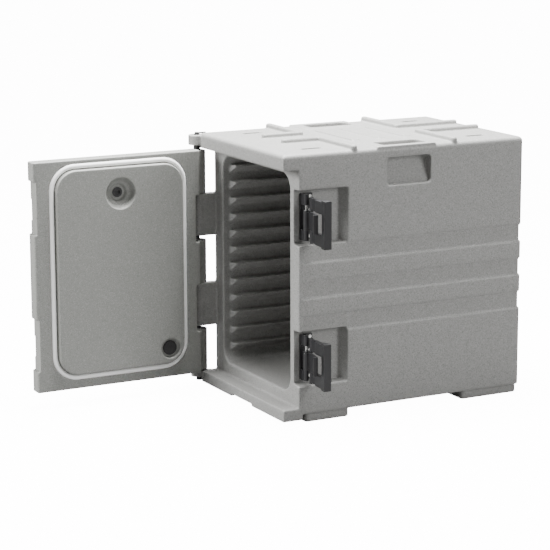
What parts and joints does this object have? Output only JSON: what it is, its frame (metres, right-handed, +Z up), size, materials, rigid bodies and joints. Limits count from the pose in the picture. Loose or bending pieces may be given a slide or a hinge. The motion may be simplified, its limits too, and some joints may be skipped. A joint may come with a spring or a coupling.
{
  "type": "insulated food carrier",
  "caption": "Front-loading insulated carrier for full-size food pans, with moulded shelf rails, a side-hinged gasketed door and two fold-out lever latches.",
  "frame": {"origin": "middle of the footprint of the whole object with its door open and its levers out, on the floor", "axes": "+Z up; -Y out of the open front, the way the open door points; +X to the latch side"},
  "size_m": [0.541, 1.086, 0.637],
  "materials": {
    "polyethylene_body": "rotomoulded, granite-flecked warm light grey, fine moulded grain",
    "polyethylene_door": "rotomoulded, granite-flecked warm light grey, smooth inner face",
    "foam": "rigid foam core, hidden between the skins",
    "plug_nylon": "black moulded plug",
    "hinge_nylon": "black moulded collar, washer or cap",
    "hinge_rod": "black composite rod",
    "latch_nylon": "black glass-filled nylon, satin",
    "latch_steel": "stainless pin or screw",
    "gasket": "white silicone",
    "vent_nylon": "black moulded vent"
  },
  "bodies": {
    "carrier": {"body_shell": "polyethylene_body", "body_foam": "foam", "body_fill_plug": "plug_nylon", "hinge_rod": "hinge_rod", "hinge_collar": "hinge_nylon", "hinge_washer_upper": "hinge_nylon", "hinge_washer_lower": "hinge_nylon", "hinge_end_cap": "hinge_nylon", "latch_upper_base": "latch_nylon", "latch_upper_screws": "latch_steel", "latch_upper_pin": "latch_steel", "latch_lower_base": "latch_nylon", "latch_lower_screws": "latch_steel", "latch_lower_pin": "latch_steel"},
    "door": {"door_shell": "polyethylene_door", "door_foam": "foam", "door_gasket": "gasket", "door_fill_plug": "plug_nylon", "vent_bush": "vent_nylon", "vent_seal": "gasket"},
    "vent": {"vent_cap": "vent_nylon"},
    "lever_upper": {"latch_upper_lever": "latch_nylon"},
    "link_upper": {"latch_upper_link": "latch_nylon"},
    "lever_lower": {"latch_lower_lever": "latch_nylon"},
    "link_lower": {"latch_lower_link": "latch_nylon"}
  },
  "joints": [
    {"name": "door_hinge", "type": "hinge", "parent": "carrier", "child": "door", "pos_m": [-0.25, -0.104, 0.31], "axis": [0, 0, -1], "range_deg": [-90, 180]},
    {"name": "vent_turn", "type": "hinge", "parent": "door", "child": "vent", "pos_m": [-0.2473, -0.3285, 0.502], "axis": [-1, 0, 0], "range_deg": [0, 90]},
    {"name": "latch_upper_lever_hinge", "type": "hinge", "parent": "carrier", "child": "lever_upper", "pos_m": [0.182, -0.0385, 0.475], "axis": [0, 0, 1], "range_deg": [0, 90]},
    {"name": "latch_upper_link_hinge", "type": "hinge", "parent": "lever_upper", "child": "link_upper", "pos_m": [0.1845, -0.0385, 0.475], "axis": [0, 0, 1], "range_deg": [-170, 0]},
    {"name": "latch_lower_lever_hinge", "type": "hinge", "parent": "carrier", "child": "lever_lower", "pos_m": [0.182, -0.0385, 0.148], "axis": [0, 0, 1], "range_deg": [0, 90]},
    {"name": "latch_lower_link_hinge", "type": "hinge", "parent": "lever_lower", "child": "link_lower", "pos_m": [0.1845, -0.0385, 0.148], "axis": [0, 0, 1], "range_deg": [-170, 0]}
  ],
  "couplings": [
    {"joint": "latch_upper_link_hinge", "follows": "latch_upper_lever_hinge", "ratio": -1.8889},
    {"joint": "latch_lower_link_hinge", "follows": "latch_lower_lever_hinge", "ratio": -1.8889}
  ]
}
